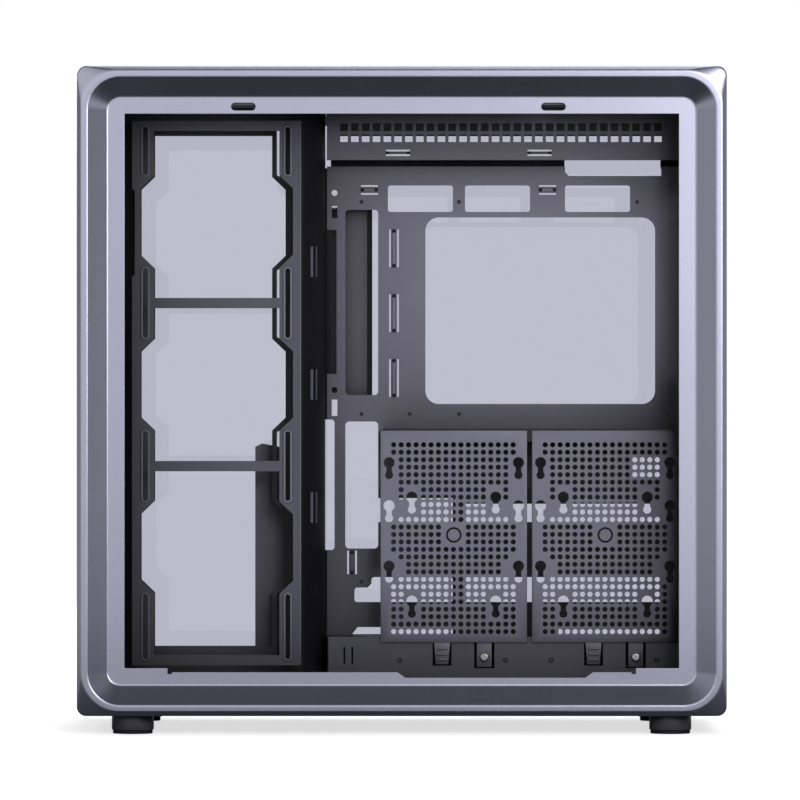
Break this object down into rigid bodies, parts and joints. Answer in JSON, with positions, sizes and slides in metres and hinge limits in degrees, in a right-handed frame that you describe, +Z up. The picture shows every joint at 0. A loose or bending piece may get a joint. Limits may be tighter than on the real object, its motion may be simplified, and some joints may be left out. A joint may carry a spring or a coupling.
{
  "type": "computer case",
  "caption": "Square dual-chamber computer case with rounded grey end frames, steel motherboard tray, side fan bracket, perforated drive plates and tinted glass, its cable side open.",
  "frame": {"origin": "middle of the footprint at the floor, under the feet", "axes": "+X from the front to the rear, +Y from the open cable side to the window side, +Z up"},
  "size_m": [0.474, 0.29, 0.488],
  "materials": {
    "frame_paint": "satin lavender-grey anodised look",
    "steel_paint": "fine matte dark grey powder coat",
    "bracket_paint": "darker matte grey powder coat",
    "window_glass": "grey-violet tinted tempered glass",
    "filter_mesh": "fine black dust mesh",
    "dark_screw": "black plated screw or stand-off",
    "bright_steel": "plain plated steel",
    "black_plastic": "moulded black plastic",
    "button_paint": "satin button cap",
    "foot_plastic": "semi-gloss black foot",
    "foot_rubber": "black rubber pad"
  },
  "bodies": {
    "chassis": {"side_frame_right": "frame_paint", "side_frame_left": "frame_paint", "top_panel": "frame_paint", "bottom_panel": "frame_paint", "front_cover": "frame_paint", "front_glass": "window_glass", "top_filter": "filter_mesh", "bottom_filter": "filter_mesh", "chassis_top": "steel_paint", "chassis_base": "steel_paint", "front_wall": "steel_paint", "rear_panel": "steel_paint", "slot_cover_screws": "dark_screw", "psu_bracket": "steel_paint", "psu_bracket_screws": "dark_screw", "motherboard_tray": "steel_paint", "tray_strip": "black_plastic", "standoffs": "dark_screw", "top_rail": "steel_paint", "fan_bracket": "bracket_paint", "fan_wall": "bracket_paint", "cable_column": "black_plastic", "drive_plate_front": "steel_paint", "drive_plate_rear": "steel_paint", "plate_screws": "bright_steel", "plate_pins": "black_plastic", "drive_hanger": "steel_paint", "bottom_shelf": "bracket_paint", "cable_cover": "steel_paint", "cover_trim": "foot_rubber", "card_support": "steel_paint", "io_housing": "black_plastic", "usb_a_ports": "bright_steel", "usb_c_port": "bright_steel", "audio_jack": "black_plastic", "slot_cover_1": "steel_paint", "slot_cover_2": "steel_paint", "slot_cover_3": "steel_paint", "slot_cover_4": "steel_paint", "slot_cover_5": "steel_paint", "slot_cover_6": "steel_paint", "slot_cover_7": "steel_paint", "foot_front_right": "foot_plastic", "foot_front_left": "foot_plastic", "foot_rear_right": "foot_plastic", "foot_rear_left": "foot_plastic", "foot_pad_front_right": "foot_rubber", "foot_pad_front_left": "foot_rubber", "foot_pad_rear_right": "foot_rubber", "foot_pad_rear_left": "foot_rubber"},
    "power_button": {"power_button": "button_paint"},
    "reset_button": {"reset_button": "button_paint"},
    "side_glass": {"side_glass": "window_glass", "glass_hooks": "bright_steel"}
  },
  "joints": [
    {"name": "power_press", "type": "slide", "parent": "chassis", "child": "power_button", "axis": [0, 0, -1], "range_m": [0, 0.0015], "stiffness_N_per_m": 600},
    {"name": "reset_press", "type": "slide", "parent": "chassis", "child": "reset_button", "axis": [0, 0, -1], "range_m": [0, 0.0012], "stiffness_N_per_m": 500},
    {"name": "glass_pull", "type": "slide", "parent": "chassis", "child": "side_glass", "axis": [0, 1, 0], "range_m": [0, 0.06]}
  ]
}
